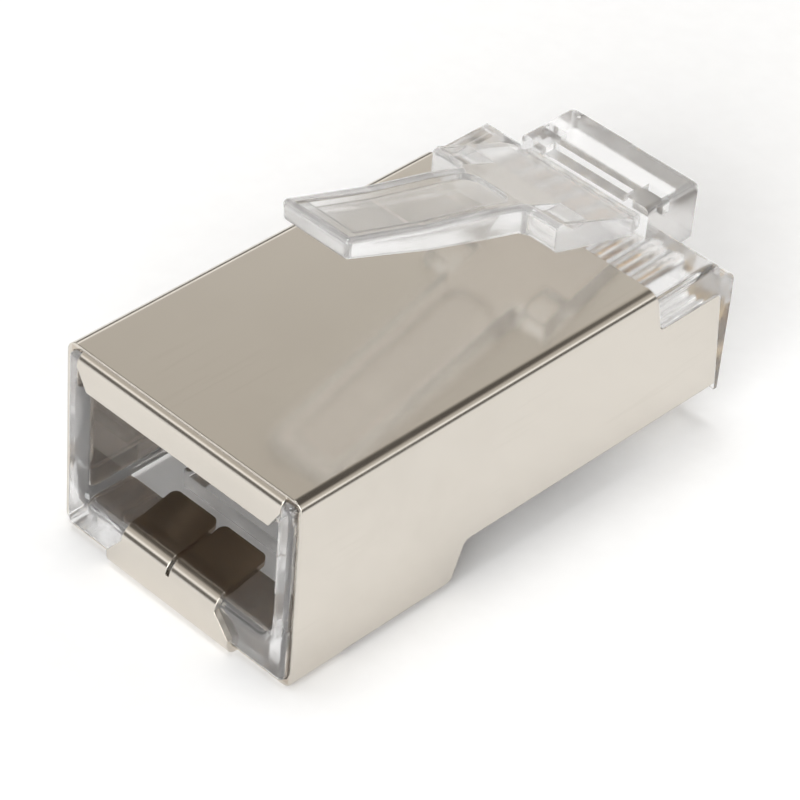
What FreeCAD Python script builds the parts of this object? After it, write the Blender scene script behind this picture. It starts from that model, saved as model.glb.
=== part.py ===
import FreeCAD, Part
import math
import os

import Sketcher

# Shielded eight-way modular plug, not yet crimped. The latch is on top (+Z), the cable entry
# faces -Y and the contact nose faces +Y. In the sketches y runs from the rear edge of the
# shield towards the nose, x from the middle to the right, and z up from the underside of the
# shield. Every body is then moved along Y so that the plug's middle stands over the origin.

# name, value (mm, or degrees for an angle), what it measures
SIZES = [
    ("plug_width", 11.70, "outside width of the shield"),
    ("plug_height", 8.36, "underside of the shield to its top panel"),
    ("gauge", 0.25, "thickness of the shield's sheet"),
    ("bend_inside", 0.25, "inside radius of the long bends of the shield"),
    ("fit_gap", 0.02, "play between the shield and the housing"),
    # shield, seen from the side, with depths below the top panel
    ("panel_front", 17.55, "front edge of the top panel"),
    ("shield_front", 21.80, "front edge of the side panels, at its foot"),
    ("shield_lean", 0.50, "how far the head of that edge leans back"),
    ("notch_lean", 0.45, "how far the rear edge of the front notch leans forward"),
    ("notch_floor", 1.88, "depth of the side panels' top edge along the notch"),
    ("notch_round", 0.25, "rounded corners at both ends of that edge"),
    ("foot_edge", 0.36, "lower edge of the side panels over the rear block"),
    ("nose_edge", 2.02, "lower edge of the side panels along the nose"),
    ("step_start", 7.75, "where the rear block ends underneath"),
    ("step_run", 0.60, "length of the slope up to the nose"),
    ("step_round", 0.35, "rounding of that slope's ends"),
    ("band_reach", 2.50, "length of the band that wraps under the rear block"),
    ("seam_place", 4.60, "where the two ends of the band meet, from the middle"),
    ("seam_gap", 0.10, "gap between the two ends of the band"),
    # lip folded down over the housing's roof, with a depth below the top panel
    ("lip_width", 10.10, "width of the lip at its bend"),
    ("lip_stand", 0.30, "how far the lip stands behind the shield's rear edge"),
    ("lip_bend", 0.64, "outside radius of the lip's bend"),
    ("lip_foot", 1.50, "depth of the lip's free edge"),
    ("lip_taper", 0.50, "narrowing of each side of the lip towards its free edge"),
    # strap that rises over the housing's floor and ends in two fingers
    ("strap_width", 6.25, "width of the strap at its foot"),
    ("strap_neck", 4.80, "width of the strap at its bend, over both fingers"),
    ("strap_shoulder", 0.70, "height where the strap starts to narrow"),
    ("strap_waist", 1.60, "height where the strap has narrowed"),
    ("strap_stand", 0.52, "how far the strap stands behind the shield's rear edge"),
    ("strap_bend", 0.75, "outside radius of the strap's bend over the floor"),
    ("strap_fold", 0.45, "outside radius of the fold at the strap's foot"),
    ("strap_top", 2.24, "upper face of the fingers at their root"),
    ("finger_reach", 2.05, "how far the fingers reach into the housing"),
    ("finger_rise", 0.36, "how much the fingers rise on the way in"),
    ("finger_slit", 0.18, "slit between the two fingers"),
    ("finger_round", 0.30, "rounded corners of the finger ends"),
    # housing, with the ledge's depth below the top panel
    ("entry_stand", 0.25, "how far the cable entry stands out of the shield"),
    ("nose_face", 22.00, "front face of the nose"),
    ("nose_sole", 1.70, "contact side of the nose"),
    ("side_wall", 0.88, "side walls of the cable cavity"),
    ("roof", 0.80, "roof of the cable cavity"),
    ("cavity_floor", 1.95, "floor of the cable cavity"),
    ("cavity_round", 0.40, "rounded corners of the cable cavity"),
    ("cavity_end", 10.20, "where the cavity starts to narrow to the wires"),
    ("throat_end", 14.00, "where the wires enter their own channels"),
    ("brow_face", 20.90, "front edge of the housing's top face"),
    ("brow_lean", 0.22, "forward lean of the face below that edge"),
    ("ledge", 1.01, "depth of the ledge in front of it"),
    ("ledge_round", 0.62, "rounding of the ledge's front edge"),
    ("brow_round", 0.28, "rounded edges of the housing's top face along the nose"),
    # wires and contacts
    ("wire_height", 5.30, "height of the row of wire channels"),
    ("wire_bore", 0.98, "diameter of a wire channel"),
    ("wire_gate", 0.62, "height of the slot that joins the channels"),
    ("wire_end", 21.30, "closed end of the wire channels"),
    ("contact_pitch", 1.02, "distance between neighbouring contacts"),
    ("contact_gauge", 0.32, "thickness of a contact"),
    ("contact_play", 0.02, "play of a contact in its slot"),
    ("contact_back", 18.50, "rear edge of a contact"),
    ("contact_length", 3.10, "length of a contact along the plug"),
    ("contact_foot", 1.42, "outer edge of a contact before it is crimped"),
    ("contact_crown", 0.45, "rounding of a contact's outer front corner"),
    ("contact_heel", 0.20, "rounding of a contact's outer rear corner"),
    ("contact_shoulder", 3.85, "root of the piercing tines"),
    ("contact_tip", 4.70, "tips of the piercing tines"),
    ("tine_flat", 0.12, "width of a tine's tip"),
    ("slot_roof", 3.10, "height of the contact slots at the front face"),
    # strain relief in the floor
    ("window_back", 3.50, "rear end of the strain relief window"),
    ("window_front", 7.00, "front end of the strain relief window"),
    ("window_width", 7.00, "width of the strain relief window"),
    ("clamp_play", 0.25, "gap round the strain relief bar"),
    ("clamp_web", 0.35, "thin web that the strain relief bar breaks from"),
    ("clamp_length", 1.90, "length of the strain relief bar along the plug"),
    # root of the latch and the block in front of it, with heights above the top panel, and
    # with a depth below it
    ("hinge_place", 19.72, "axis of the latch root, from the shield's rear edge"),
    ("hinge_height", 0.32, "height of that axis"),
    ("root_radius", 0.36, "radius of the rolled root of the latch"),
    ("root_neck", 0.60, "thickness of the latch where it meets that root"),
    ("root_play", 0.03, "clearance round the rolled root"),
    ("root_top", 0.79, "top of the nose block over the root, in its recess"),
    ("root_set", 0.18, "how far the root's axis lies behind the nose block's rear face"),
    ("block_front", 22.85, "front face of the nose block"),
    ("block_top", 1.08, "top of the nose block"),
    ("block_drop", 1.44, "depth that the nose block's overhang reaches"),
    ("block_width", 6.30, "width of the nose block"),
    ("block_brow", 0.50, "rounding of the block's front top edge"),
    ("block_round", 0.25, "rounded side edges of the block"),
    ("gate_width", 2.50, "width of the shallow gate recess in the block's front"),
    ("gate_place", 1.30, "middle of the gate recess, from the middle to the left"),
    ("gate_depth", 0.14, "depth of the gate recess"),
    ("recess_width", 3.90, "width of the recess in the block's rear edge"),
    ("recess_front", 20.40, "front side of that recess"),
    ("pit_inside", 2.05, "inner end of the two pits in the block's top, from the middle"),
    ("pit_length", 0.90, "length of those pits across the plug"),
    ("pit_back", 20.80, "rear side of those pits"),
    ("pit_front", 21.15, "front side of those pits"),
    ("pit_depth", 0.70, "depth of those pits"),
    # latch, with heights above the top panel
    ("latch_width", 6.10, "width over the locking shoulders"),
    ("lever_width", 3.25, "width of the lever"),
    ("neck_width", 5.40, "width of the latch at its root"),
    ("neck_back", 19.30, "where the latch narrows to its root"),
    ("shoulder_back", 14.86, "rear face of the locking shoulders"),
    ("shoulder_top", 2.80, "top of the locking shoulders"),
    ("shoulder_foot", 1.50, "underside of the locking shoulders"),
    ("shoulder_round", 0.35, "inner corner between lever and shoulder"),
    ("bridge_place", 18.70, "where the latch bends over to its root"),
    ("bridge_top", 1.24, "upper face there"),
    ("bridge_foot", 0.39, "lower face there"),
    ("knee_place", 16.35, "bend in the underside in front of the shoulders"),
    ("knee_foot", 1.06, "lower face there"),
    ("waist_place", 12.95, "bend in the lever behind the shoulders"),
    ("waist_top", 3.44, "upper face there"),
    ("waist_foot", 2.14, "lower face there"),
    ("lever_place", 9.75, "bend in the middle of the lever"),
    ("lever_top", 4.32, "upper face there"),
    ("lever_foot", 3.22, "lower face there"),
    ("tip_place", 5.70, "free end of the lever"),
    ("tip_top", 5.69, "upper edge of the free end"),
    ("tip_foot", 4.78, "lower edge of the free end"),
    ("tip_lean", 0.10, "forward lean of the end face"),
    ("tip_round", 0.22, "rounded corners of the free end"),
    ("pad_rim", 0.50, "rim round the sunk pad of the lever"),
    ("pad_end_rim", 0.80, "rim across the free end"),
    ("pad_depth", 0.34, "depth of the pad"),
    ("pad_front", 14.75, "front end of the pad"),
    ("pad_step", 0.22, "depth of the pad at that end"),
    ("pad_round", 0.75, "rounded corners of that end"),
    ("dip_start", 15.05, "rear end of the dips in the shoulders"),
    ("dip_length", 1.60, "length of those dips"),
    ("dip_depth", 0.36, "depth of those dips"),
    ("dip_rim", 0.12, "rim between a dip and the shoulder's side"),
]

CONTACTS = 8
TINES = 3
CLEAR = 1.0  # how far a cutting outline reaches past what it cuts
SAME = 1e-4  # two places nearer than this are one, and a cut must remove more than this


class Size:
    """A length that carries both its value and the spreadsheet formula behind it."""

    def __init__(self, value, text):
        self.value = float(value)
        self.text = text

    @staticmethod
    def of(thing):
        """Take a Size as it is and turn a plain number into one."""
        return thing if isinstance(thing, Size) else Size(thing, repr(float(thing)))

    def __add__(self, other):
        other = Size.of(other)
        return Size(self.value + other.value, f"({self.text} + {other.text})")

    def __sub__(self, other):
        other = Size.of(other)
        return Size(self.value - other.value, f"({self.text} - {other.text})")

    def __mul__(self, other):
        other = Size.of(other)
        return Size(self.value * other.value, f"({self.text} * {other.text})")

    def __truediv__(self, other):
        other = Size.of(other)
        return Size(self.value / other.value, f"({self.text} / {other.text})")

    def __neg__(self):
        return Size(-self.value, f"(0 - {self.text})")


class Sheet:
    """The document's spreadsheet, read by name."""

    def __init__(self, doc):
        self.sheet = doc.addObject("Spreadsheet::Sheet", "Sizes")
        for row, (name, value, meaning) in enumerate(SIZES, 1):
            self.sheet.set(f"A{row}", name)
            self.sheet.set(f"B{row}", str(value))
            self.sheet.set(f"C{row}", meaning)
            self.sheet.setAlias(f"B{row}", name)
        doc.recompute()

    def __getattr__(self, name):
        return Size(self.sheet.get(name), f"Sizes.{name}")


doc = FreeCAD.newDocument("ModularPlug")
size = Sheet(doc)


class AboveTop:
    """Sizes that are stated as heights above the top panel, given as heights of the plug."""

    def __getattr__(self, name):
        return size.plug_height + getattr(size, name)


class BelowTop:
    """Sizes that are stated as depths below the top panel, given as heights of the plug."""

    def __getattr__(self, name):
        return size.plug_height - getattr(size, name)


top = AboveTop()
below = BelowTop()
half_width = size.plug_width / 2
body_half = half_width - size.gauge - size.fit_gap
body_top = size.plug_height - size.gauge - size.fit_gap
body_sole = size.gauge + size.fit_gap
cavity_half = body_half - size.side_wall
cavity_roof = body_top - size.roof
plug_middle = (size.block_front - size.strap_stand) / 2


def bind(feature, attribute, length):
    """Set a property of a feature and tie it to the spreadsheet."""
    feature.setExpression(attribute, length.text)


def new_body(label):
    """Start a sub-part whose placement brings the plug's middle over the origin."""
    body = doc.addObject("PartDesign::Body", label)
    body.Label = label
    body.Placement.Base = FreeCAD.Vector(0, -plug_middle.value, 0)
    bind(body, ".Placement.Base.y", -plug_middle)
    return body


def hold(sketch, geometry, end, u, v):
    """Fix one point of the sketch at (u, v)."""
    for kind, length in (("DistanceX", u), ("DistanceY", v)):
        index = sketch.addConstraint(Sketcher.Constraint(kind, geometry, end, length.value))
        bind(sketch, f"Constraints[{index}]", length)


def draw_outline(sketch, corners):
    """Draw a closed outline through corners (u, v), or (u, v, radius) for a rounded one."""
    count = len(corners)
    corners = [tuple(Size.of(number) for number in corner) for corner in corners]
    at = [FreeCAD.Vector(corner[0].value, corner[1].value, 0) for corner in corners]
    arrive, leave, centre = list(at), list(at), [None] * count
    for i, corner in enumerate(corners):
        if len(corner) == 3:
            back = (at[i - 1] - at[i]).normalize()
            on = (at[(i + 1) % count] - at[i]).normalize()
            half_angle = back.getAngle(on) / 2
            reach = corner[2].value / math.tan(half_angle)
            arrive[i], leave[i] = at[i] + back * reach, at[i] + on * reach
            inward = (back + on).normalize()
            centre[i] = at[i] + inward * (corner[2].value / math.sin(half_angle))
    line = [
        sketch.addGeometry(Part.LineSegment(leave[i], arrive[(i + 1) % count]))
        for i in range(count)
    ]
    for i, corner in enumerate(corners):
        before, after = line[i - 1], line[i]
        if centre[i] is None:
            sketch.addConstraint(Sketcher.Constraint("Coincident", before, 2, after, 1))
            hold(sketch, after, 1, corner[0], corner[1])
            continue
        turn = (at[i] - at[i - 1]).cross(at[(i + 1) % count] - at[i]).z
        first, last = (arrive[i], leave[i]) if turn > 0 else (leave[i], arrive[i])
        circle = Part.Circle(centre[i], FreeCAD.Vector(0, 0, 1), corner[2].value)
        span = [math.atan2(end.y - centre[i].y, end.x - centre[i].x) for end in (first, last)]
        arc = sketch.addGeometry(Part.ArcOfCircle(circle, span[0], span[1]))
        corner_point = sketch.addGeometry(Part.Point(at[i]), True)
        hold(sketch, corner_point, 1, corner[0], corner[1])
        for side in (before, after):
            sketch.addConstraint(Sketcher.Constraint("PointOnObject", corner_point, 1, side))
        near, far = (1, 2) if turn > 0 else (2, 1)
        sketch.addConstraint(Sketcher.Constraint("Tangent", before, 2, arc, near))
        sketch.addConstraint(Sketcher.Constraint("Tangent", arc, far, after, 1))
        index = sketch.addConstraint(Sketcher.Constraint("Radius", arc, corner[2].value))
        bind(sketch, f"Constraints[{index}]", corner[2])


def draw_circle(sketch, u, v, radius):
    """Draw a full circle round (u, v)."""
    centre = FreeCAD.Vector(u.value, v.value, 0)
    circle = sketch.addGeometry(Part.Circle(centre, FreeCAD.Vector(0, 0, 1), radius.value))
    hold(sketch, circle, 3, u, v)
    index = sketch.addConstraint(Sketcher.Constraint("Radius", circle, radius.value))
    bind(sketch, f"Constraints[{index}]", radius)


def rectangle(low_u, high_u, low_v, high_v, radius=None):
    """Corners of a rectangle, rounded if a radius is given."""
    corners = [(low_u, low_v), (high_u, low_v), (high_u, high_v), (low_u, high_v)]
    return corners if radius is None else [corner + (radius,) for corner in corners]


def new_sketch(body, name, role, outlines=(), offset=None):
    """Add a sketch on one of the body's own origin planes.

    XZ_Plane draws x and z and faces -Y, YZ_Plane draws y and z and faces +X, XY_Plane draws
    x and y and faces +Z. An offset moves the sketch along that direction.
    """
    sketch = body.newObject("Sketcher::SketchObject", name)
    plane = next(item for item in body.Origin.OriginFeatures if item.Role == role)
    sketch.AttachmentSupport = [(plane, "")]
    sketch.MapMode = "FlatFace"
    if offset is not None:
        sketch.AttachmentOffset.Base = FreeCAD.Vector(0, 0, offset.value)
        bind(sketch, "AttachmentOffset.Base.z", offset)
    for corners in outlines:
        draw_outline(sketch, corners)
    sketch.Visibility = False
    return sketch


def extrude(body, kind, sketch, length, symmetric=False, backwards=False):
    """Add a Pad or a Pocket of the given length."""
    feature = body.newObject(f"PartDesign::{kind}", f"{sketch.Name}_{kind}")
    feature.Profile = sketch
    feature.SideType = "Symmetric" if symmetric else "One side"
    feature.Reversed = backwards
    bind(feature, "Length", Size.of(length))
    return feature


def profile(body, kind, name, corners, width):
    """Pad or Pocket a side profile (y, z) by a width that is even about the middle."""
    sketch = new_sketch(body, name, "YZ_Plane", [corners])
    return extrude(body, kind, sketch, width, symmetric=True)


def along(body, kind, name, outlines, start, length):
    """Pad or Pocket outlines (x, z) along +Y, from start."""
    sketch = new_sketch(body, name, "XZ_Plane", outlines, offset=-start)
    return extrude(body, kind, sketch, length, backwards=(kind == "Pad"))


def down(body, kind, name, outlines, start, length):
    """Pad or Pocket outlines (x, y) downwards, from start."""
    sketch = new_sketch(body, name, "XY_Plane", outlines, offset=start)
    return extrude(body, kind, sketch, length, backwards=(kind == "Pad"))


def mirrored_pair(corners):
    """The outline on the right of the middle and its mirror image on the left."""
    other = [(-Size.of(corner[0]),) + tuple(corner[1:]) for corner in reversed(corners)]
    return [corners, other]


def dress_edges(body, kind, name, length, chosen):
    """Add a Fillet or Chamfer to every edge of the body that is chosen."""
    doc.recompute()
    base = body.Tip
    names = [f"Edge{n}" for n, edge in enumerate(base.Shape.Edges, 1) if chosen(edge)]
    if not names:
        raise RuntimeError(f"{name} finds no edges")
    feature = body.newObject(f"PartDesign::{kind}", name)
    feature.Base = (base, names)
    bind(feature, "Radius" if kind == "Fillet" else "Size", length)
    return feature


def runs(edge, axis):
    """True if the edge is straight and parallel to the axis (0 x, 1 y, 2 z)."""
    ends = [vertex.Point[axis] for vertex in edge.Vertexes]
    return len(ends) == 2 and abs(abs(ends[1] - ends[0]) - edge.Length) < SAME


def lies_across(edge, axis):
    """True if the ends of the edge are at one place along the axis."""
    ends = [vertex.Point[axis] for vertex in edge.Vertexes]
    return max(ends) - min(ends) < SAME


def is_at(edge, axis, place):
    """True if the middle of the edge lies at a place along an axis."""
    return abs(edge.BoundBox.Center[axis] - place.value) < SAME


def is_aside(edge, distance):
    """True if the middle of the edge lies at a distance to the right or left of the plug's middle."""
    return abs(abs(edge.BoundBox.Center.x) - distance.value) < SAME


def repeat_across(body, feature, count, pitch):
    """Repeat a feature count times towards +X."""
    pattern = body.newObject("PartDesign::LinearPattern", f"{feature.Name}_row")
    plane = next(item for item in body.Origin.OriginFeatures if item.Role == "X_Axis")
    pattern.Originals = [feature]
    pattern.Direction = (plane, [""])
    pattern.Occurrences = count
    bind(pattern, "Length", pitch * (count - 1))
    body.Tip = pattern
    return pattern


def row_place(index):
    """Distance of one place in the row of contacts from the middle of the plug."""
    return size.contact_pitch * (index - (CONTACTS - 1) / 2)


def build_shield():
    """One folded sheet: top panel, two sides, rear band, roof lip and strap with two fingers."""
    body = new_body("shield")
    outside = rectangle(-half_width, half_width, Size.of(0), size.plug_height,
                        size.bend_inside + size.gauge)
    inner_half = half_width - size.gauge
    inside = rectangle(-inner_half, inner_half, size.gauge, size.plug_height - size.gauge,
                       size.bend_inside)
    along(body, "Pad", "shield_tube", [outside, inside], Size.of(0), size.shield_front)

    # everything in front of the band and outside the side panels' outline is blanked away
    profile(body, "Pocket", "shield_blank", [
        (size.band_reach, -CLEAR),
        (size.band_reach, size.foot_edge),
        (size.step_start, size.foot_edge, size.step_round),
        (size.step_start + size.step_run, size.nose_edge, size.step_round),
        (size.shield_front, size.nose_edge),
        (size.shield_front - size.shield_lean, below.notch_floor, size.notch_round),
        (size.panel_front + size.notch_lean, below.notch_floor, size.notch_round),
        (size.panel_front, size.plug_height),
        (size.panel_front, size.plug_height + CLEAR),
        (size.shield_front + CLEAR, size.plug_height + CLEAR),
        (size.shield_front + CLEAR, -CLEAR),
    ], size.plug_width + 2 * CLEAR)

    build_lip(body)
    build_strap(body)

    seam = rectangle(size.seam_place, size.seam_place + size.seam_gap, -CLEAR,
                     size.gauge + CLEAR)
    along(body, "Pocket", "shield_seam", [seam], Size.of(-CLEAR), size.band_reach + 2 * CLEAR)
    return body


def build_lip(body):
    """The top panel's rear edge, bent down over the end of the housing's roof."""
    lip_inner = size.gauge - size.lip_stand
    tail = size.lip_bend + size.gauge
    profile(body, "Pad", "lip", [
        (tail, size.plug_height - size.gauge),
        (tail, size.plug_height),
        (-size.lip_stand, size.plug_height, size.lip_bend),
        (-size.lip_stand, below.lip_foot),
        (lip_inner, below.lip_foot),
        (lip_inner, size.plug_height - size.gauge, size.lip_bend - size.gauge),
    ], size.lip_width)
    lip_half = size.lip_width / 2
    taper_top = size.plug_height - size.lip_bend
    corner = [
        (lip_half, taper_top),
        (lip_half - size.lip_taper, below.lip_foot),
        (lip_half + CLEAR, below.lip_foot),
        (lip_half + CLEAR, taper_top),
    ]
    along(body, "Pocket", "lip_taper", mirrored_pair(corner), -size.lip_stand - CLEAR,
          size.lip_stand + CLEAR)


def build_strap(body):
    """The band's tail: up behind the floor, over its edge and into the entry as two fingers."""
    strap_inner = size.gauge - size.strap_stand
    root = strap_inner + size.strap_bend
    finger_end = size.strap_top + size.finger_rise
    profile(body, "Pad", "strap", [
        (size.band_reach, Size.of(0)),
        (size.band_reach, size.gauge),
        (strap_inner, size.gauge, size.strap_fold - size.gauge),
        (strap_inner, size.strap_top - size.gauge, size.strap_bend - size.gauge),
        (root, size.strap_top - size.gauge),
        (size.finger_reach, finger_end - size.gauge),
        (size.finger_reach, finger_end),
        (root, size.strap_top),
        (-size.strap_stand, size.strap_top, size.strap_bend),
        (-size.strap_stand, Size.of(0), size.strap_fold),
    ], size.strap_width)
    foot_half = size.strap_width / 2
    neck_half = size.strap_neck / 2
    above = finger_end + CLEAR
    side = [
        (foot_half + CLEAR, size.strap_shoulder),
        (foot_half + CLEAR, above),
        (neck_half, above),
        (neck_half, size.strap_waist),
        (foot_half, size.strap_shoulder),
    ]
    along(body, "Pocket", "strap_sides", mirrored_pair(side), -size.strap_stand - CLEAR,
          size.finger_reach + size.strap_stand + 2 * CLEAR)
    half_slit = size.finger_slit / 2
    slit = rectangle(-half_slit, half_slit, -size.strap_stand - CLEAR, size.finger_reach + CLEAR)
    down(body, "Pocket", "finger_slit", [slit], above, above - size.strap_waist)
    dress_edges(body, "Fillet", "finger_ends", size.finger_round,
                lambda edge: runs(edge, 2) and is_at(edge, 1, size.finger_reach))


def build_housing():
    """The clear moulding: entry, wire channels, contact slots, strain relief and nose block."""
    body = new_body("housing")
    outline = rectangle(-body_half, body_half, body_sole, body_top, size.bend_inside)
    along(body, "Pad", "block", [outline], -size.entry_stand, size.nose_face + size.entry_stand)
    build_nose(body)
    build_latch_root(body)
    build_cavity(body)
    build_contact_slots(body)
    build_strain_relief(body)
    return body


def build_nose(body):
    """The full-width collar and brow that close the shield, the ledge and the lower step."""
    front_gap = size.shield_front + size.fit_gap
    notch_back = size.panel_front + size.fit_gap
    notch_foot = below.notch_floor + size.fit_gap
    notch_top_lean = size.notch_lean * (size.plug_height - body_top) / size.notch_floor
    profile(body, "Pad", "collar", [
        (front_gap, size.nose_sole),
        (size.nose_face, size.nose_sole),
        (size.nose_face, below.ledge),
        (size.brow_face, below.ledge),
        (size.brow_face, notch_foot),
        (front_gap - size.shield_lean, notch_foot, size.notch_round),
        (front_gap, size.nose_edge),
    ], size.plug_width)
    profile(body, "Pad", "brow", [
        (notch_back + size.notch_lean, notch_foot, size.notch_round),
        (size.brow_face + size.brow_lean, notch_foot),
        (size.brow_face + size.brow_lean, below.ledge),
        (size.brow_face, body_top),
        (notch_back + notch_top_lean, body_top),
    ], size.plug_width)
    width = size.plug_width + 2 * CLEAR
    profile(body, "Pocket", "ledge_cut", [
        (size.brow_face, body_top),
        (size.brow_face + size.brow_lean, below.ledge),
        (size.nose_face + CLEAR, below.ledge),
        (size.nose_face + CLEAR, body_top + CLEAR),
        (size.brow_face, body_top + CLEAR),
    ], width)
    dress_edges(body, "Fillet", "brow_edges", size.brow_round,
                lambda edge: is_at(edge, 2, body_top)
                and (runs(edge, 1) and is_aside(edge, half_width)
                     or runs(edge, 0) and is_at(edge, 1, size.brow_face)))
    dress_edges(body, "Fillet", "ledge_edge", size.ledge_round,
                lambda edge: runs(edge, 0) and is_at(edge, 2, below.ledge)
                and is_at(edge, 1, size.nose_face))
    profile(body, "Pocket", "sole_step", [
        (size.step_start, body_sole - CLEAR),
        (size.step_start, body_sole, size.step_round),
        (size.step_start + size.step_run, size.nose_sole, size.step_round),
        (size.nose_face + CLEAR, size.nose_sole),
        (size.nose_face + CLEAR, body_sole - CLEAR),
    ], width)


def build_latch_root(body):
    """The nose block, its recesses and the round seat for the latch's rolled root.

    The seat is closed at both ends, so it holds the root sideways too.
    """
    block_back = size.hinge_place + size.root_set
    seat = body_top - size.gauge
    profile(body, "Pad", "nose_block", [
        (block_back, seat),
        (size.nose_face - size.ledge_round, below.block_drop),
        (size.block_front, below.block_drop),
        (size.block_front, top.block_top, size.block_brow),
        (block_back, top.block_top),
    ], size.block_width)
    dress_edges(body, "Fillet", "block_edges", size.block_round,
                lambda edge: is_aside(edge, size.block_width / 2)
                and lies_across(edge, 0) and edge.BoundBox.ZMax > body_top.value + SAME
                and edge.BoundBox.YMax > block_back.value + SAME)
    gate_left = -size.gate_place - size.gate_width / 2
    gate = rectangle(gate_left, gate_left + size.gate_width,
                     size.block_front - size.block_brow - size.gate_depth,
                     size.block_front + CLEAR)
    down(body, "Pocket", "gate", [gate], top.block_top + CLEAR, size.gate_depth + CLEAR)
    profile(body, "Pocket", "recess", rectangle(
        block_back - CLEAR, size.recess_front, top.root_top, top.block_top + CLEAR),
        size.recess_width)
    pit = rectangle(size.pit_inside, size.pit_inside + size.pit_length, size.pit_back,
                    size.pit_front)
    down(body, "Pocket", "pits", mirrored_pair(pit), top.block_top + CLEAR,
         size.pit_depth + CLEAR)
    sketch = new_sketch(body, "root_seat", "YZ_Plane")
    draw_circle(sketch, size.hinge_place, top.hinge_height, size.root_radius + size.root_play)
    extrude(body, "Pocket", sketch, size.neck_width + size.root_play * 2, symmetric=True)


def build_cavity(body):
    """The cable cavity, its rounded mouth, the lip's seat and the throat to the wires.

    The strap folds round the housing's lower rear edge and bends over the mouth's edge, so
    the radii of both edges follow from the strap's.
    """
    room = rectangle(-cavity_half, cavity_half, size.cavity_floor, cavity_roof, size.cavity_round)
    along(body, "Pocket", "cavity", [room], -size.entry_stand,
          size.cavity_end + size.entry_stand)
    dress_edges(body, "Fillet", "rear_foot", size.strap_fold - size.gauge - size.fit_gap,
                lambda edge: runs(edge, 0) and is_at(edge, 1, -size.entry_stand)
                and is_at(edge, 2, body_sole))
    dress_edges(body, "Fillet", "mouth", size.strap_bend - size.gauge - size.fit_gap,
                lambda edge: is_at(edge, 1, -size.entry_stand) and lies_across(edge, 1)
                and abs(edge.BoundBox.Center.x) < cavity_half.value + SAME
                and size.cavity_floor.value - SAME < edge.BoundBox.Center.z
                < cavity_roof.value + SAME)
    roof_end = size.gauge - size.lip_stand + size.fit_gap
    profile(body, "Pocket", "lip_seat", [
        (-size.entry_stand - CLEAR, below.lip_foot - size.fit_gap),
        (roof_end, below.lip_foot - size.fit_gap),
        (roof_end, body_top, size.lip_bend - size.gauge),
        (size.lip_bend + CLEAR, body_top),
        (size.lip_bend + CLEAR, body_top + CLEAR),
        (-size.entry_stand - CLEAR, body_top + CLEAR),
    ], size.lip_width + size.fit_gap * 2)
    wires_half = size.contact_pitch * (CONTACTS / 2)
    wide = rectangle(-cavity_half, cavity_half, size.cavity_floor, cavity_roof)
    narrow = rectangle(-wires_half, wires_half, size.wire_height - size.wire_bore / 2,
                       size.wire_height + size.wire_bore / 2)
    throat = body.newObject("PartDesign::SubtractiveLoft", "throat")
    throat.Profile = new_sketch(body, "throat_wide", "XZ_Plane", [wide], offset=-size.cavity_end)
    throat.Sections = [new_sketch(body, "throat_narrow", "XZ_Plane", [narrow],
                                  offset=-size.throat_end)]
    throat.Ruled = True
    gate_half = size.wire_gate / 2
    gate = rectangle(row_place(0), row_place(CONTACTS - 1), size.wire_height - gate_half,
                     size.wire_height + gate_half)
    along(body, "Pocket", "wire_gate", [gate], size.throat_end, size.wire_end - size.throat_end)
    sketch = new_sketch(body, "wire_channel", "XZ_Plane", offset=-size.throat_end)
    draw_circle(sketch, row_place(0), size.wire_height, size.wire_bore / 2)
    channel = extrude(body, "Pocket", sketch, size.wire_end - size.throat_end)
    repeat_across(body, channel, CONTACTS, size.contact_pitch)


def build_contact_slots(body):
    """Eight slots, open to the contact side and low on the front face."""
    contact_front = size.contact_back + size.contact_length
    outline = [
        (size.contact_back - size.contact_play, size.nose_sole - CLEAR),
        (size.nose_face + CLEAR, size.nose_sole - CLEAR),
        (size.nose_face + CLEAR, size.slot_roof),
        (contact_front + size.contact_play, size.slot_roof),
        (contact_front + size.contact_play, size.wire_height),
        (size.contact_back - size.contact_play, size.wire_height),
    ]
    sketch = new_sketch(body, "contact_slot", "YZ_Plane", [outline], offset=row_place(0))
    slot = extrude(body, "Pocket", sketch, size.contact_gauge + size.contact_play * 2,
                   symmetric=True)
    repeat_across(body, slot, CONTACTS, size.contact_pitch)


def build_strain_relief(body):
    """The window in the floor and the bar that hangs in it by a thin web."""
    window_half = size.window_width / 2
    window = rectangle(-window_half, window_half, size.window_back, size.window_front)
    above = size.cavity_floor + CLEAR
    down(body, "Pocket", "window", [window], above, above + CLEAR)
    bar_front = size.window_front - size.clamp_play
    bar_back = bar_front - size.clamp_length
    web_foot = size.cavity_floor - size.clamp_web
    profile(body, "Pad", "clamp", [
        (bar_front, body_sole + size.clamp_play),
        (bar_front, size.cavity_floor),
        (size.window_back - size.clamp_web, size.cavity_floor),
        (size.window_back - size.clamp_web, web_foot),
        (bar_back, web_foot),
        (bar_back, body_sole + size.clamp_play * 2),
    ], size.window_width - size.clamp_play * 2)


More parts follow.
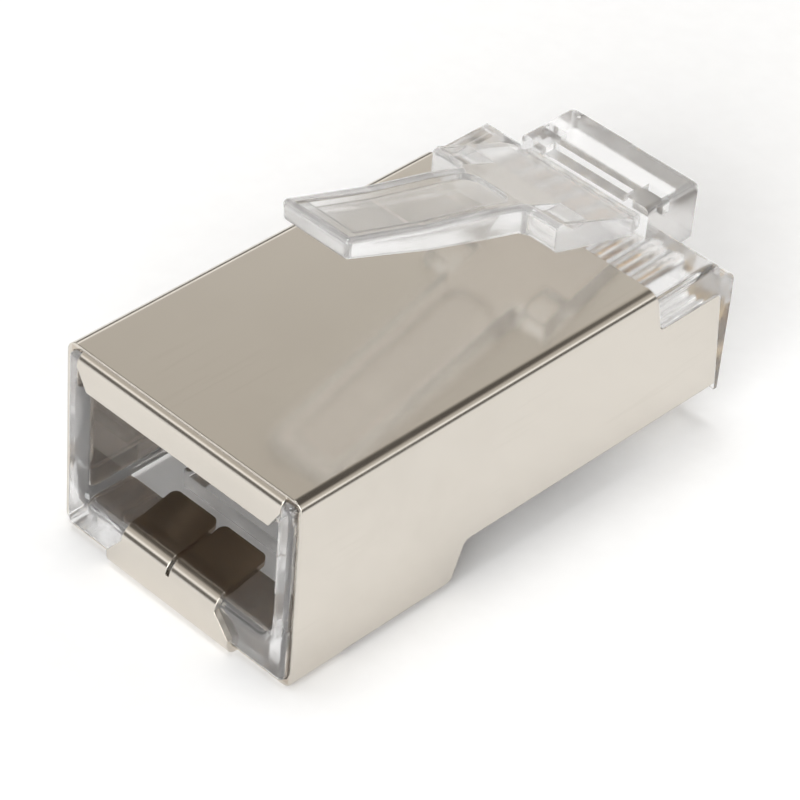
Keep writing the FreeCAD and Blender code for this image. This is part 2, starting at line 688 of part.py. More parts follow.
def build_latch():
    """The lever with its sunk pad, the locking shoulders and the rolled root."""
    body = new_body("latch")
    profile(body, "Pad", "arm", [
        (size.tip_place, top.tip_top, size.tip_round),
        (size.tip_place + size.tip_lean, top.tip_foot, size.tip_round),
        (size.lever_place, top.lever_foot),
        (size.waist_place, top.waist_foot),
        (size.shoulder_back + size.tip_lean, top.shoulder_foot),
        (size.knee_place, top.knee_foot),
        (size.bridge_place, top.bridge_foot),
        (size.hinge_place, top.hinge_height - size.root_neck / 2),
        (size.hinge_place, top.hinge_height + size.root_neck / 2),
        (size.bridge_place, top.bridge_top),
        (size.shoulder_back, top.shoulder_top),
        (size.waist_place, top.waist_top),
        (size.lever_place, top.lever_top),
    ], size.latch_width)
    sketch = new_sketch(body, "root", "YZ_Plane")
    draw_circle(sketch, size.hinge_place, top.hinge_height, size.root_radius)
    extrude(body, "Pad", sketch, size.latch_width, symmetric=True)

    lever_half = size.lever_width / 2
    outer_half = size.latch_width / 2 + CLEAR
    above = top.tip_top + CLEAR
    beside_lever = [
        (lever_half, size.tip_place - CLEAR),
        (outer_half, size.tip_place - CLEAR),
        (outer_half, size.shoulder_back),
        (lever_half, size.shoulder_back, size.shoulder_round),
    ]
    down(body, "Pocket", "lever_sides", mirrored_pair(beside_lever), above, above)
    neck_half = size.neck_width / 2
    beside_neck = rectangle(neck_half, outer_half, size.neck_back, size.hinge_place + CLEAR)
    down(body, "Pocket", "neck_sides", mirrored_pair(beside_neck), above, above)
    dress_edges(body, "Fillet", "tip_corners", size.tip_round,
                lambda edge: edge.BoundBox.YMax < size.tip_place.value + size.tip_lean.value
                and is_aside(edge, lever_half) and lies_across(edge, 0)
                and edge.BoundBox.ZLength > size.tip_round.value)
    build_pad_and_dips(body)
    return body


def height_between(low, high, place):
    """Height at a place on the straight face from point low (y, z) to point high (y, z)."""
    return low[1] + (high[1] - low[1]) * (place - low[0]) / (high[0] - low[0])


def build_pad_and_dips(body):
    """The sunk finger pad on the lever and the shallow dips in the two shoulders."""
    tip = (size.tip_place, top.tip_top)
    lever = (size.lever_place, top.lever_top)
    waist = (size.waist_place, top.waist_top)
    shoulder = (size.shoulder_back, top.shoulder_top)
    bridge = (size.bridge_place, top.bridge_top)
    start = size.tip_place + size.pad_end_rim
    start_top = height_between(tip, lever, start)
    pad_half = size.lever_width / 2 - size.pad_rim
    profile(body, "Pocket", "pad", [
        (start, start_top + CLEAR),
        (start, start_top - size.pad_depth),
        (size.lever_place, top.lever_top - size.pad_depth),
        (size.waist_place, top.waist_top - size.pad_depth),
        (size.pad_front, height_between(waist, shoulder, size.pad_front) - size.pad_step),
        (size.pad_front, start_top + CLEAR),
    ], pad_half * 2)
    dress_edges(body, "Fillet", "pad_end", size.pad_round,
                lambda edge: runs(edge, 2) and is_at(edge, 1, size.pad_front)
                and is_aside(edge, pad_half))
    dip_end = size.dip_start + size.dip_length
    dip_middle = size.dip_start + size.dip_length / 2
    top_at_start = height_between(shoulder, bridge, size.dip_start)
    top_at_middle = height_between(shoulder, bridge, dip_middle)
    top_at_end = height_between(shoulder, bridge, dip_end)
    dip = [
        (size.dip_start, top_at_start),
        (dip_middle, top_at_middle - size.dip_depth, size.dip_length / 2),
        (dip_end, top_at_end),
        (dip_end, top_at_start + CLEAR),
        (size.dip_start, top_at_start + CLEAR),
    ]
    inner = size.lever_width / 2
    width = size.latch_width / 2 - size.dip_rim - inner
    for name, place in (("dip_left", -inner - width / 2), ("dip_right", inner + width / 2)):
        sketch = new_sketch(body, name, "YZ_Plane", [dip], offset=place)
        extrude(body, "Pocket", sketch, width, symmetric=True)


def build_contact(index):
    """One gold-plated blade with its piercing tines, as it stands before crimping."""
    body = new_body(f"contact_{index + 1}")
    front = size.contact_back + size.contact_length
    pitch = size.contact_length / TINES
    corners = [
        (size.contact_back, size.contact_foot, size.contact_heel),
        (front, size.contact_foot, size.contact_crown),
        (front, size.contact_shoulder),
    ]
    for tine in range(TINES):
        tip = front - pitch * (tine + 0.5)
        corners.append((tip + size.tine_flat / 2, size.contact_tip))
        corners.append((tip - size.tine_flat / 2, size.contact_tip))
        corners.append((front - pitch * (tine + 1), size.contact_shoulder))
    sketch = new_sketch(body, f"blade_{index + 1}", "YZ_Plane", [corners],
                        offset=row_place(index))
    extrude(body, "Pad", sketch, size.contact_gauge, symmetric=True)
    return body


def check(bodies):
    """Stop if a feature failed, a cut removed nothing or a body isn't one valid solid."""
    doc.recompute()
    for item in doc.Objects:
        if "Invalid" in item.State or "Error" in item.State:
            raise RuntimeError(f"{item.Label} failed: {item.State}")
        if item.TypeId == "PartDesign::Pocket":
            before = item.BaseFeature.Shape.Volume
            if before - item.Shape.Volume < SAME:
                raise RuntimeError(f"{item.Label} cuts nothing")
    for body in bodies:
        shape = body.Shape
        if shape.isNull() or not shape.isValid() or len(shape.Solids) != 1:
            raise RuntimeError(f"{body.Label} isn't one valid solid")


bodies = [build_shield(), build_housing(), build_latch()]
bodies += [build_contact(index) for index in range(CONTACTS)]
check(bodies)

os.makedirs("parts", exist_ok=True)
for body in bodies:
    body.Shape.exportStep(f"parts/{body.Label}.step")
    print(f"{body.Label}: {body.Shape.Volume:.2f} mm3")
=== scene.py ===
import logging
import math
from dataclasses import dataclass
from enum import Enum

import bpy
import numpy as np
from mathutils import Matrix, Vector


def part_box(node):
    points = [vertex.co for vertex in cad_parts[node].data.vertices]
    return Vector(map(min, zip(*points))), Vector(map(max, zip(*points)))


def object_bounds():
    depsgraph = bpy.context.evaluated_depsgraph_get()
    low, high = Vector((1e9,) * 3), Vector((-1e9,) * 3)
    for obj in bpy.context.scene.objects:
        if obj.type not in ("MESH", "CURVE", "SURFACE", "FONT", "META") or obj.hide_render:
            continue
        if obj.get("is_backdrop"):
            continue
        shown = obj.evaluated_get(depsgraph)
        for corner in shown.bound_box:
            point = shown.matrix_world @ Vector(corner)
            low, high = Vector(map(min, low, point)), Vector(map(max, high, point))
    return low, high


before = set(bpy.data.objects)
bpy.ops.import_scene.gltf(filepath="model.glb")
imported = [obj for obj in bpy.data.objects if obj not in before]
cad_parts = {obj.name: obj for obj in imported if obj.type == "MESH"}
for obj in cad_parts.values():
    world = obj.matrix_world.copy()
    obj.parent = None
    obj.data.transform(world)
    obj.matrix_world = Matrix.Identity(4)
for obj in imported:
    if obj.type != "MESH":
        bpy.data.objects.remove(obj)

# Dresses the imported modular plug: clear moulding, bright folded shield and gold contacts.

LOG = logging.getLogger("modular_plug")
MM = 0.001

Colour = tuple[float, float, float, float]
Triple = tuple[float, float, float]
Span = tuple[float, float]
Stops = tuple[tuple[float, Colour], ...]
Socket = bpy.types.NodeSocket

WHITE: Colour = (1.0, 1.0, 1.0, 1.0)
BLACK: Colour = (0.0, 0.0, 0.0, 1.0)
ORIGIN: Triple = (0.0, 0.0, 0.0)
ONES: Triple = (1.0, 1.0, 1.0)
RISING: Span = (0.0, 1.0)
FALLING: Span = (1.0, 0.0)
AXES = "XYZ"

# Distance between the nodes of a tree, as the node editor draws them.
NODE_SPACING = 190.0
# Places of the colour sockets on a Mix node, where other types have the same names.
MIX_SHARE = 0
MIX_LOW = 6
MIX_HIGH = 7
MIX_RESULT = 2
# Rays per point that look for an edge to round.
EDGE_SAMPLES = 6
# Half side, in metres, of a box that has no end along an axis.
ENDLESS = 1000.0


class LampRole(Enum):
    """The three lamps of the studio."""

    KEY = "key"
    FILL = "fill"
    BACK = "back"


class Graph:
    """A node tree with short ways to add, set and join nodes."""

    def __init__(self, tree: bpy.types.NodeTree) -> None:
        """Take a tree and start writing nodes from its left side.

        Args:
            tree: the tree of a material, a world or a node group.
        """
        self.tree = tree
        self.column = 0

    def add(self, kind: str, **settings: object) -> bpy.types.Node:
        """Add one node and set its attributes.

        Args:
            kind: the node's type name.
            **settings: attribute names and values.

        Returns:
            The new node.
        """
        node = self.tree.nodes.new(kind)
        node.location = (self.column * NODE_SPACING, 0.0)
        self.column += 1
        for name, value in settings.items():
            setattr(node, name, value)
        return node

    def feed(self, socket: Socket, source: Socket | float | Triple | Colour) -> None:
        """Link a socket to another one, or give it a constant.

        Args:
            socket: the input to feed.
            source: an output socket, a number, a vector or a colour.
        """
        if isinstance(source, bpy.types.NodeSocket):
            self.tree.links.new(source, socket)
        else:
            socket.default_value = source

    def math(self, operation: str, *terms: Socket | float) -> Socket:
        """Join numbers by one arithmetic step.

        Args:
            operation: the Math node's operation.
            *terms: its terms in order.

        Returns:
            The result's socket.
        """
        node = self.add("ShaderNodeMath", operation=operation)
        for socket, term in zip(node.inputs, terms):
            self.feed(socket, term)
        return node.outputs["Value"]

    def vector_math(self, operation: str, *terms: Socket | Triple) -> Socket:
        """Join vectors by one arithmetic step, axis by axis.

        Args:
            operation: the Vector Math node's operation.
            *terms: its terms in order.

        Returns:
            The result's socket.
        """
        node = self.add("ShaderNodeVectorMath", operation=operation)
        for socket, term in zip(node.inputs, terms):
            self.feed(socket, term)
        return node.outputs["Vector"]

    def part(self, vector: Socket, axis: str) -> Socket:
        """Take one coordinate out of a vector.

        Args:
            vector: the socket to read.
            axis: X, Y or Z.

        Returns:
            The coordinate's socket.
        """
        node = self.add("ShaderNodeSeparateXYZ")
        self.feed(node.inputs["Vector"], vector)
        return node.outputs[axis]

    def spread(self, value: Socket, reach: Span, result: Span) -> Socket:
        """Carry a value from one range to another, smoothly and clamped.

        Args:
            value: the socket to read.
            reach: values at which the result starts and stops changing.
            result: the results at and outside those two.

        Returns:
            The result's socket.
        """
        node = self.add("ShaderNodeMapRange", interpolation_type="SMOOTHSTEP")
        for socket, term in zip(node.inputs, (value, *reach, *result)):
            self.feed(socket, term)
        return node.outputs["Result"]

    def noise(self, vector: Socket, scale: Socket | float, detail: float,
              roughness: float = 0.5) -> Socket:
        """Add a noise texture.

        Args:
            vector: the coordinates to read.
            scale: waves per metre.
            detail: how many finer layers are laid over the first.
            roughness: share that each finer layer keeps.

        Returns:
            The socket of its grey value.
        """
        node = self.add("ShaderNodeTexNoise")
        self.feed(node.inputs["Vector"], vector)
        self.feed(node.inputs["Scale"], scale)
        self.feed(node.inputs["Detail"], detail)
        self.feed(node.inputs["Roughness"], roughness)
        return node.outputs["Fac"]

    def stretched(self, vector: Socket, factors: Triple) -> Socket:
        """Scale a coordinate by one factor along each axis.

        Args:
            vector: the coordinates to read.
            factors: the factors, where a small one draws a pattern out.

        Returns:
            The scaled coordinates' socket.
        """
        node = self.add("ShaderNodeMapping")
        self.feed(node.inputs["Vector"], vector)
        self.feed(node.inputs["Scale"], factors)
        return node.outputs["Vector"]

    def ramp(self, value: Socket, stops: Stops) -> Socket:
        """Turn a value from 0 to 1 into a colour.

        Args:
            value: the socket to read.
            stops: places and their colours, in rising order.

        Returns:
            The colour's socket.
        """
        node = self.add("ShaderNodeValToRGB")
        self.feed(node.inputs["Fac"], value)
        marks = node.color_ramp.elements
        marks[0].position, marks[0].color = stops[0]
        marks[1].position, marks[1].color = stops[-1]
        for place, colour in stops[1:-1]:
            marks.new(place).color = colour
        return node.outputs["Color"]

    def blend(self, share: Socket, low: Colour | Socket, high: Colour | Socket) -> Socket:
        """Mix two colours.

        Args:
            share: share of the second colour, 0 to 1.
            low: the colour at 0.
            high: the colour at 1.

        Returns:
            The mixed colour's socket.
        """
        node = self.add("ShaderNodeMix", data_type="RGBA")
        self.feed(node.inputs[MIX_SHARE], share)
        self.feed(node.inputs[MIX_LOW], low)
        self.feed(node.inputs[MIX_HIGH], high)
        return node.outputs[MIX_RESULT]

    def soft_edge(self, radius: float) -> Socket:
        """Add normals that round every sharp edge by a small radius.

        Args:
            radius: the edge radius in metres.

        Returns:
            The normal's socket.
        """
        node = self.add("ShaderNodeBevel", samples=EDGE_SAMPLES)
        self.feed(node.inputs["Radius"], radius)
        return node.outputs["Normal"]

    def dented(self, height: Socket, strength: float, depth: float,
               normal: Socket | None = None) -> Socket:
        """Lay a bump over the surface's own normals, or over given ones.

        Args:
            height: grey height, 0 to 1.
            strength: share of the bump that shows.
            depth: depth of a full step in metres.
            normal: the normals underneath, if they aren't the surface's own.

        Returns:
            The normal's socket.
        """
        node = self.add("ShaderNodeBump")
        self.feed(node.inputs["Strength"], strength)
        self.feed(node.inputs["Distance"], depth)
        self.feed(node.inputs["Height"], height)
        if normal is not None:
            self.feed(node.inputs["Normal"], normal)
        return node.outputs["Normal"]

    def use(self, group: bpy.types.NodeTree, vector: Socket,
            **values: float | Triple) -> Socket:
        """Place a shared effect in this tree.

        Args:
            group: the effect's node group.
            vector: coordinates that it reads.
            **values: values of its named inputs.

        Returns:
            The effect's output.
        """
        node = self.add("ShaderNodeGroup")
        node.node_tree = group
        self.feed(node.inputs["Vector"], vector)
        for label, value in values.items():
            self.feed(node.inputs[label], value)
        return node.outputs[0]


def new_group(name: str, inputs: dict[str, float | Triple],
              output: str) -> tuple[Graph, bpy.types.Node, bpy.types.Node]:
    """Start a node group that reads coordinates and puts out one value.

    Args:
        name: the group's name.
        inputs: names of its further inputs with their default values.
        output: the output's name.

    Returns:
        The graph, the group's input node and its output node.
    """
    tree = bpy.data.node_groups.new(name, "ShaderNodeTree")
    for label, value in {"Vector": ORIGIN, **inputs}.items():
        kind = "NodeSocketVector" if isinstance(value, tuple) else "NodeSocketFloat"
        socket = tree.interface.new_socket(label, in_out="INPUT", socket_type=kind)
        socket.default_value = value
    tree.interface.new_socket(output, in_out="OUTPUT", socket_type="NodeSocketFloat")
    graph = Graph(tree)
    return graph, graph.add("NodeGroupInput"), graph.add("NodeGroupOutput")


@dataclass(frozen=True)
class Smudges:
    """Soft handling marks: wide clouds of noise times a finer noise."""

    scale: float = 300.0
    wide_detail: float = 3.0
    wide_reach: Span = (0.42, 0.66)
    finer: float = 6.0
    fine_detail: float = 4.0
    fine_roughness: float = 0.65
    fine_reach: Span = (0.3, 0.7)
    fine_result: Span = (0.45, 1.0)

    def build(self) -> bpy.types.NodeTree:
        """Make the node group.

        Returns:
            The group, which puts out a mask from 0 to 1.
        """
        graph, start, end = new_group("Smudges", {"Scale": self.scale}, "Mask")
        place = start.outputs["Vector"]
        wide = graph.noise(place, start.outputs["Scale"], self.wide_detail)
        fine_scale = graph.math("MULTIPLY", start.outputs["Scale"], self.finer)
        fine = graph.noise(place, fine_scale, self.fine_detail, self.fine_roughness)
        clouds = graph.spread(wide, self.wide_reach, RISING)
        breaks = graph.spread(fine, self.fine_reach, self.fine_result)
        graph.feed(end.inputs["Mask"], graph.math("MULTIPLY", clouds, breaks))
        return graph.tree


@dataclass(frozen=True)
class Hairlines:
    """Fine rubs along the plug: the tops of a long drawn-out noise, denser in patches."""

    scale: float = 900.0
    rarity: float = 0.62
    stretch: Triple = (1.0, 0.03, 1.0)
    line_detail: float = 2.0
    line_roughness: float = 0.4
    line_reach: Span = (0.0, 0.05)
    patch_scale: float = 180.0
    patch_detail: float = 2.0
    patch_reach: Span = (0.4, 0.6)
    patch_result: Span = (0.1, 1.0)

    def build(self) -> bpy.types.NodeTree:
        """Make the node group.

        Returns:
            The group, which puts out a mask from 0 to 1.
        """
        graph, start, end = new_group("Hairlines", {"Scale": self.scale, "Rarity": self.rarity},
                                      "Mask")
        place = start.outputs["Vector"]
        drawn = graph.stretched(place, self.stretch)
        lines = graph.noise(drawn, start.outputs["Scale"], self.line_detail, self.line_roughness)
        tops = graph.math("SUBTRACT", lines, start.outputs["Rarity"])
        sharp = graph.spread(tops, self.line_reach, RISING)
        cloud = graph.noise(place, self.patch_scale, self.patch_detail)
        patches = graph.spread(cloud, self.patch_reach, self.patch_result)
        graph.feed(end.inputs["Mask"], graph.math("MULTIPLY", sharp, patches))
        return graph.tree


class BoxReach:
    """How far a point lies from the middle of a box, in half sides.

    It is the largest, over the three axes, of |point - middle| / half side, so it is 1 on the
    box's faces. An axis with an endless half side doesn't count.
    """

    @staticmethod
    def build() -> bpy.types.NodeTree:
        """Make the node group.

        Returns:
            The group, which puts out the distance.
        """
        graph, start, end = new_group("Box reach", {"Middle": ORIGIN, "Half": ONES}, "Reach")
        off = graph.vector_math("SUBTRACT", start.outputs["Vector"], start.outputs["Middle"])
        share = graph.vector_math("DIVIDE", off, start.outputs["Half"])
        size = graph.vector_math("ABSOLUTE", share)
        across, along, up = (graph.part(size, axis) for axis in AXES)
        level = graph.math("MAXIMUM", across, along)
        graph.feed(end.inputs["Reach"], graph.math("MAXIMUM", level, up))
        return graph.tree

    @staticmethod
    def values(low: Vector, high: Vector, axes: str) -> dict[str, Triple]:
        """Work out the group's inputs for one box.

        Args:
            low: the box's lowest corner.
            high: the box's highest corner.
            axes: the axes that count.

        Returns:
            The inputs' names and values.
        """
        half = [(top - bottom) / 2.0 if axis in axes else ENDLESS
                for axis, bottom, top in zip(AXES, low, high)]
        return {"Middle": tuple((low + high) / 2.0), "Half": tuple(half)}


class SharedEffects:
    """Node groups that more than one material can use, each built once."""

    def __init__(self) -> None:
        """Build the groups with their own default sizes."""
        self.smudges = Smudges().build()
        self.hairlines = Hairlines().build()
        self.box_reach = BoxReach.build()


def start_material(name: str) -> tuple[bpy.types.Material, Graph, bpy.types.Node, Socket]:
    """Start a material with one Principled shader.

    Args:
        name: the material's name.

    Returns:
        The material, its graph, its shader, and the Object coordinates' socket.
    """
    material = bpy.data.materials.new(name)
    material.use_nodes = True
    material.node_tree.nodes.clear()
    graph = Graph(material.node_tree)
    place = graph.add("ShaderNodeTexCoord").outputs["Object"]
    shader = graph.add("ShaderNodeBsdfPrincipled")
    output = graph.add("ShaderNodeOutputMaterial")
    graph.feed(output.inputs["Surface"], shader.outputs["BSDF"])
    return material, graph, shader, place


@dataclass(frozen=True)
class ClearMoulding:
    """Clear polycarbonate as it leaves the mould, a little milky and hazier towards the gate.

    The roughness rises by a smooth step from one place along the plug to another, because the
    melt enters at the nose and leaves its flow marks there.
    """

    name: str
    tint: Colour = (1.0, 0.994, 0.985, 1.0)
    clearness: float = 0.94
    index: float = 1.585
    roughness: Span = (0.05, 0.16)
    haze_reach: Span = (2.0 * MM, 8.0 * MM)
    marks_scale: float = 420.0
    marks_roughness: float = 0.04
    flow_stretch: Triple = (1.0, 0.4, 1.0)
    flow_scale: float = 700.0
    flow_detail: float = 2.0
    flow_strength: float = 0.05
    flow_depth: float = 0.02 * MM
    edge: float = 0.0

    def build(self, effects: SharedEffects) -> bpy.types.Material:
        """Make the material.

        Args:
            effects: the shared groups.

        Returns:
            The finished material.
        """
        material, graph, shader, place = start_material(self.name)
        graph.feed(shader.inputs["Base Color"], self.tint)
        graph.feed(shader.inputs["IOR"], self.index)
        graph.feed(shader.inputs["Transmission Weight"], self.clearness)
        haze = graph.spread(graph.part(place, "Y"), self.haze_reach, self.roughness)
        marks = graph.use(effects.smudges, place, Scale=self.marks_scale)
        rubbed = graph.math("MULTIPLY", marks, self.marks_roughness)
        graph.feed(shader.inputs["Roughness"], graph.math("ADD", haze, rubbed))
        drawn = graph.stretched(place, self.flow_stretch)
        flow = graph.noise(drawn, self.flow_scale, self.flow_detail)
        soft = graph.soft_edge(self.edge) if self.edge else None
        graph.feed(shader.inputs["Normal"],
                   graph.dented(flow, self.flow_strength, self.flow_depth, soft))
        return material


@dataclass(frozen=True)
class PlatedSheet:
    """Bright nickel plate over thin rolled sheet, with hairlines, handling marks and soft edges.

    Faces turned into the folded sheet, from the cable entry inwards, take a darker, browner
    colour that is painted shade for the dim cavity. The outer faces lie at 1 half side from the
    middle of the sheet's box and the inside ones a sheet's thickness less, which tells them apart.
    """

    name: str
    base: Colour = (0.675, 0.635, 0.575, 1.0)
    dull: Colour = (0.61, 0.57, 0.51, 1.0)
    # Painted shade: the darker, browner colour given to the inside faces of the sheet.
    painted_inner_shade: Colour = (0.50, 0.42, 0.34, 1.0)
    inner_reach: Span = (0.960, 0.970)
    inner_start: Span = (0.05 * MM, 0.4 * MM)
    roughness: Span = (0.15, 0.27)
    marks_scale: float = 260.0
    marks_share: float = 0.35
    lines_scale: float = 5200.0
    lines_rarity: float = 0.6
    lines_share: float = 0.22
    grain_stretch: Triple = (1.0, 0.12, 1.0)
    grain_scale: float = 1600.0
    grain_detail: float = 3.0
    grain_strength: float = 0.03
    grain_depth: float = 0.01 * MM
    edge: float = 0.06 * MM

    def build(self, effects: SharedEffects) -> bpy.types.Material:
        """Make the material.

        Args:
            effects: the shared groups.

        Returns:
            The finished material.
        """
        material, graph, shader, place = start_material(self.name)
        marks = graph.use(effects.smudges, place, Scale=self.marks_scale)
        lines = graph.use(effects.hairlines, place, Scale=self.lines_scale,
                          Rarity=self.lines_rarity)
        worn = graph.math("MAXIMUM", graph.math("MULTIPLY", marks, self.marks_share),
                          graph.math("MULTIPLY", lines, self.lines_share))
        outside = graph.blend(worn, self.base, self.dull)
        inside = self._painted_shade_mask(graph, effects, place)
        # The inside faces are blended towards the painted shade colour.
        graph.feed(shader.inputs["Base Color"], graph.blend(inside, outside, self.painted_inner_shade))
        graph.feed(shader.inputs["Metallic"], 1.0)
        graph.feed(shader.inputs["Roughness"], graph.spread(worn, RISING, self.roughness))
        drawn = graph.stretched(place, self.grain_stretch)
        grain = graph.noise(drawn, self.grain_scale, self.grain_detail)
        graph.feed(shader.inputs["Normal"],
                   graph.dented(grain, self.grain_strength, self.grain_depth,
                                graph.soft_edge(self.edge)))
        return material

    def _painted_shade_mask(self, graph: Graph, effects: SharedEffects, place: Socket) -> Socket:
        """Mask of the sheet's inside faces, from the cable entry inwards, where painted shade
        darkens the plate.

        Args:
            graph: the material's graph.
            effects: the shared groups.
            place: the coordinates to read.

        Returns:
            The mask's socket, 1 on the inside faces.
        """
        low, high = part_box("shield")
        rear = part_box("housing")[0].y
        reach = graph.use(effects.box_reach, place, **BoxReach.values(low, high, "XZ"))
        within = graph.spread(reach, self.inner_reach, FALLING)
        past = graph.math("SUBTRACT", graph.part(place, "Y"), rear)
        return graph.math("MULTIPLY", within, graph.spread(past, self.inner_start, RISING))


@dataclass(frozen=True)
class GoldPlate:
    """Thin gold over the contact blades, a little browner where it is thin."""

    name: str
    base: Colour = (0.93, 0.70, 0.34, 1.0)
    thin: Colour = (0.74, 0.50, 0.26, 1.0)
    roughness: Span = (0.16, 0.34)
    marks_scale: float = 900.0
    edge: float = 0.03 * MM

    def build(self, effects: SharedEffects) -> bpy.types.Material:
        """Make the material.

        Args:
            effects: the shared groups.

        Returns:
            The finished material.
        """
        material, graph, shader, place = start_material(self.name)
        marks = graph.use(effects.smudges, place, Scale=self.marks_scale)
        graph.feed(shader.inputs["Base Color"], graph.blend(marks, self.base, self.thin))
        graph.feed(shader.inputs["Metallic"], 1.0)
        graph.feed(shader.inputs["Roughness"], graph.spread(marks, RISING, self.roughness))
        graph.feed(shader.inputs["Normal"], graph.soft_edge(self.edge))
        return material


@dataclass(frozen=True)
class PaperSweep:
    """The matt white sheet under the plug, plain white where clear moulding shows it.

    Metal stops the light that clear moulding lets through, so there the sheet stays in shade
    over a rectangle under the shield.
    """

    name: str
    base: Colour = (0.97, 0.97, 0.97, 1.0)
    pale: Colour = (0.9894, 0.9894, 0.9894, 1.0)
    roughness: float = 0.9
    tooth_scale: float = 900.0
    tooth_detail: float = 3.0
    tooth_reach: Span = (0.3, 0.7)
    shade: Span = (0.15, 1.0)
    shade_reach: Span = (0.85, 1.1)

    def build(self, effects: SharedEffects, low: Vector, high: Vector) -> bpy.types.Material:
        """Make the material.

        Args:
            effects: the shared groups.
            low: lowest corner of the box that shades the sheet.
            high: highest corner of that box.

        Returns:
            The finished material.
        """
        material, graph, shader, place = start_material(self.name)
        tooth = graph.noise(place, self.tooth_scale, self.tooth_detail)
        paper = graph.blend(graph.spread(tooth, self.tooth_reach, RISING), self.base, self.pale)
        reach = graph.use(effects.box_reach, place, **BoxReach.values(low, high, "XY"))
        open_light = graph.spread(reach, self.shade_reach, self.shade)
        ray = graph.add("ShaderNodeLightPath").outputs["Is Transmission Ray"]
        through = graph.math("MULTIPLY", ray, open_light)
        graph.feed(shader.inputs["Base Color"], graph.blend(through, paper, BLACK))
        graph.feed(shader.inputs["Emission Color"], WHITE)
        graph.feed(shader.inputs["Emission Strength"], through)
        material.cycles.emission_sampling = "NONE"
        graph.feed(shader.inputs["Roughness"], self.roughness)
        graph.feed(shader.inputs["Specular IOR Level"], 0.0)
        return material


def dress(nodes: tuple[str, ...], material: bpy.types.Material) -> None:
    """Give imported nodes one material.

    Args:
        nodes: the nodes' names.
        material: the material for every slot.
    """
    for node in nodes:
        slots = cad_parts[node].data.materials
        slots.clear()
        slots.append(material)


@dataclass(frozen=True)
class Moulding:
    """The clear housing and the latch that is moulded with it."""

    housing: ClearMoulding = ClearMoulding("clear_polycarbonate")
    latch: ClearMoulding = ClearMoulding("hazy_polycarbonate", clearness=0.92,
                                         roughness=(0.11, 0.16), haze_reach=(-8.0 * MM, 0.0),
                                         edge=0.07 * MM)

    def dress(self, effects: SharedEffects) -> tuple[str, ...]:
        """Dress the housing and the latch.

        Args:
            effects: the shared groups.

        Returns:
            The dressed nodes' names.
        """
        dress(("housing",), self.housing.build(effects))
        dress(("latch",), self.latch.build(effects))
        return ("housing", "latch")


@dataclass(frozen=True)
class Shield:
    """The folded metal sheet round the housing."""

    finish: PlatedSheet = PlatedSheet("bright_nickel")

    def dress(self, effects: SharedEffects) -> tuple[str, ...]:
        """Dress the sheet and return its node's name."""
        dress(("shield",), self.finish.build(effects))
        return ("shield",)


@dataclass(frozen=True)
class ContactRow:
    """The eight blades under the nose."""

    count: int = 8
    finish: GoldPlate = GoldPlate("gold_plate")

    def dress(self, effects: SharedEffects) -> tuple[str, ...]:
        """Dress the blades.

        Args:
            effects: the shared groups.

        Returns:
            The dressed nodes' names.
        """
        blades = tuple(f"contact_{number}" for number in range(1, self.count + 1))
        dress(blades, self.finish.build(effects))
        return blades


def direction(azimuth: float, elevation: float) -> Vector:
    """Unit vector from the plug towards a place in the studio.

    Args:
        azimuth: degrees from -Y towards +X.
        elevation: degrees above the floor.

    Returns:
        (sin a cos e, -cos a cos e, sin e).
    """
    turn = math.radians(azimuth)
    rise = math.radians(elevation)
    return Vector((math.sin(turn) * math.cos(rise), -math.cos(turn) * math.cos(rise),
                   math.sin(rise)))


@dataclass(frozen=True)
class Lamp:
    """One soft square lamp that looks at the plug."""

    role: LampRole
    azimuth: float
    elevation: float
    distance: float
    side: float
    power: float
    colour: Triple

    def build(self) -> None:
        """Make the lamp, turned so that its face looks at the plug."""
        data = bpy.data.lights.new(f"lamp_{self.role.value}", "AREA")
        data.energy = self.power
        data.size = self.side
        data.color = self.colour
        lamp = bpy.data.objects.new(data.name, data)
        away = direction(self.azimuth, self.elevation)
        lamp.location = away * self.distance
        lamp.rotation_euler = (-away).to_track_quat("-Z", "Y").to_euler()
        bpy.context.scene.collection.objects.link(lamp)


@dataclass(frozen=True)
class Lens:
    """The long lens that looks down at the cable entry and the right side of the plug."""

    azimuth: float = 41.73
    elevation: float = 39.65
    roll: float = 4.93
    distance: float = 124.49 * MM
    target: Triple = (0.978 * MM, -1.618 * MM, 4.0 * MM)
    focal: float = 156.51
    sensor: float = 36.0
    shift: Span = (0.0059, 0.0195)
    clip: Span = (0.005, 20.0)

    def build(self) -> None:
        """Make the camera, turned by the roll about its own line of sight."""
        data = bpy.data.cameras.new("camera")
        data.sensor_width = self.sensor
        data.lens = self.focal
        data.shift_x, data.shift_y = self.shift
        data.clip_start, data.clip_end = self.clip
        back = direction(self.azimuth, self.elevation)
        side = Vector((0.0, 0.0, 1.0)).cross(back).normalized()
        up = back.cross(side)
        tilt = math.radians(self.roll)
        right = side * math.cos(tilt) + up * math.sin(tilt)
        top = up * math.cos(tilt) - side * math.sin(tilt)
        turn = Matrix((right, top, back)).transposed().to_4x4()
        camera = bpy.data.objects.new("camera", data)
        camera.matrix_world = Matrix.Translation(Vector(self.target) + back * self.distance) @ turn
        bpy.context.scene.collection.objects.link(camera)
        bpy.context.scene.camera = camera


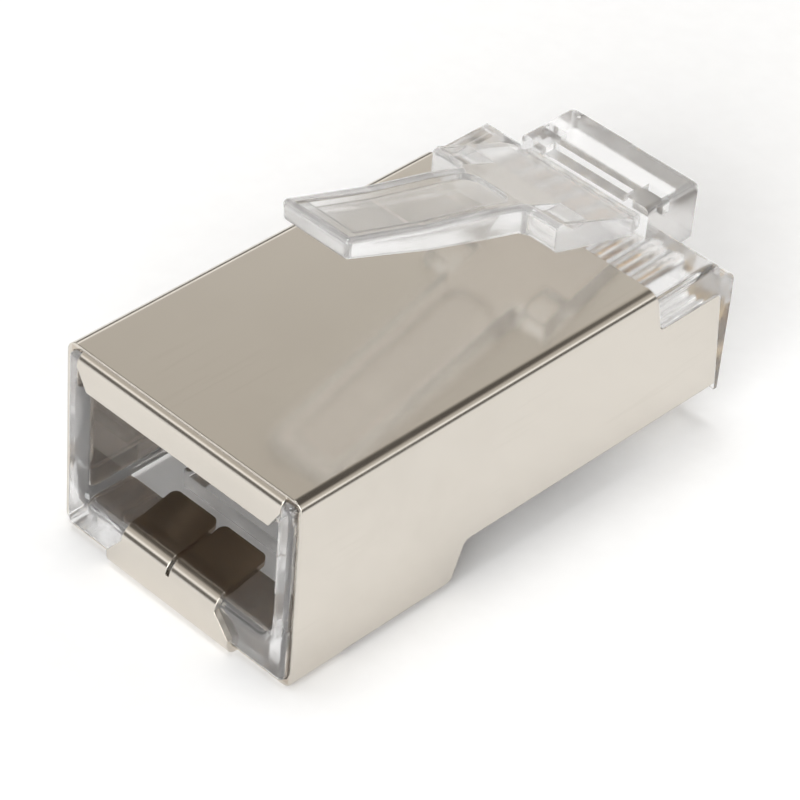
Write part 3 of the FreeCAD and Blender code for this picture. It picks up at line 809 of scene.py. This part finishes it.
@dataclass(frozen=True)
class Studio:
    """Floor, lamps, room tone and camera.

    The bands of the room lie at heights that are the sine of the elevation. Metal and the floor
    see the bright end of the floor, a dark wall, a bright one above it, and a dark ceiling.
    Clear moulding shows a white room with one greyer band high up.
    """

    paper: PaperSweep = PaperSweep("white_paper")
    floor_half: float = 1.5
    bands: Stops = (
        (0.07, (0.95, 0.95, 0.95, 1.0)),
        (0.12, (0.16, 0.15, 0.14, 1.0)),
        (0.34, (0.16, 0.15, 0.14, 1.0)),
        (0.45, (1.6, 1.58, 1.55, 1.0)),
        (0.56, (0.75, 0.73, 0.70, 1.0)),
        (0.63, (0.61, 0.58, 0.53, 1.0)),
        (0.71, (0.63, 0.59, 0.54, 1.0)),
        (0.765, (0.10, 0.09, 0.08, 1.0)),
    )
    clear_bands: Stops = (
        (0.42, WHITE),
        (0.58, (0.80, 0.77, 0.74, 1.0)),
        (0.71, (0.80, 0.77, 0.74, 1.0)),
        (0.78, (0.95, 0.95, 0.95, 1.0)),
    )
    lamps: tuple[Lamp, ...] = (
        Lamp(LampRole.KEY, 22.0, 24.0, 0.7, 0.45, 4.0, (0.98, 0.99, 1.0)),
        Lamp(LampRole.FILL, -70.0, 80.0, 0.9, 0.35, 1.7, (0.97, 0.985, 1.0)),
        Lamp(LampRole.BACK, 200.0, 86.0, 1.0, 0.35, 1.9, (0.97, 0.985, 1.0)),
    )
    lens: Lens = Lens()
    bounces: int = 24

    def build(self, effects: SharedEffects) -> None:
        """Make everything round the plug.

        Args:
            effects: the shared groups.
        """
        self._build_floor(effects)
        self._build_room()
        for lamp in self.lamps:
            lamp.build()
        self.lens.build()
        bpy.context.scene.view_settings.view_transform = "Standard"
        # Light is reflected many times inside a clear moulding before it comes out.
        paths = bpy.context.scene.cycles
        paths.max_bounces = self.bounces
        paths.glossy_bounces = self.bounces
        paths.transmission_bounces = self.bounces

    def _build_floor(self, effects: SharedEffects) -> None:
        """A flat square at the height of the plug's underside, (+-half, +-half, lowest).

        The shield shades it from its rear edge to the contacts, where the clear nose begins.

        Args:
            effects: the shared groups.
        """
        corners = np.array([(-1, -1), (1, -1), (1, 1), (-1, 1)], float) * self.floor_half
        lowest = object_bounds()[0].z
        points = np.column_stack([corners, np.full(len(corners), lowest)])
        mesh = bpy.data.meshes.new("floor")
        mesh.from_pydata(points.tolist(), [], [tuple(range(len(corners)))])
        low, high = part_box("shield")
        high.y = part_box("contact_1")[0].y
        mesh.materials.append(self.paper.build(effects, low, high))
        floor = bpy.data.objects.new("floor", mesh)
        bpy.context.scene.collection.objects.link(floor)
        floor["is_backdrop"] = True

    def _build_room(self) -> None:
        """Light from all round in level bands, and plain white where the camera looks."""
        world = bpy.data.worlds.new("room")
        world.use_nodes = True
        world.node_tree.nodes.clear()
        graph = Graph(world.node_tree)
        height = graph.part(graph.add("ShaderNodeTexCoord").outputs["Generated"], "Z")
        ray = graph.add("ShaderNodeLightPath")
        lit = graph.blend(ray.outputs["Is Transmission Ray"], graph.ramp(height, self.bands),
                          graph.ramp(height, self.clear_bands))
        tone = graph.add("ShaderNodeBackground")
        graph.feed(tone.inputs["Color"], graph.blend(ray.outputs["Is Camera Ray"], lit, WHITE))
        end = graph.add("ShaderNodeOutputWorld")
        graph.feed(end.inputs["Surface"], tone.outputs["Background"])
        bpy.context.scene.world = world


def main() -> None:
    """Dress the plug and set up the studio."""
    logging.basicConfig(level=logging.INFO, format="%(name)s: %(message)s")
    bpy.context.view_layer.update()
    effects = SharedEffects()
    for assembly in (Moulding(), Shield(), ContactRow()):
        for node in assembly.dress(effects):
            LOG.info("%s: %s is dressed", type(assembly).__name__, node)
    Studio().build(effects)
    LOG.info("boxes written")


if __name__ == "__main__":
    main()
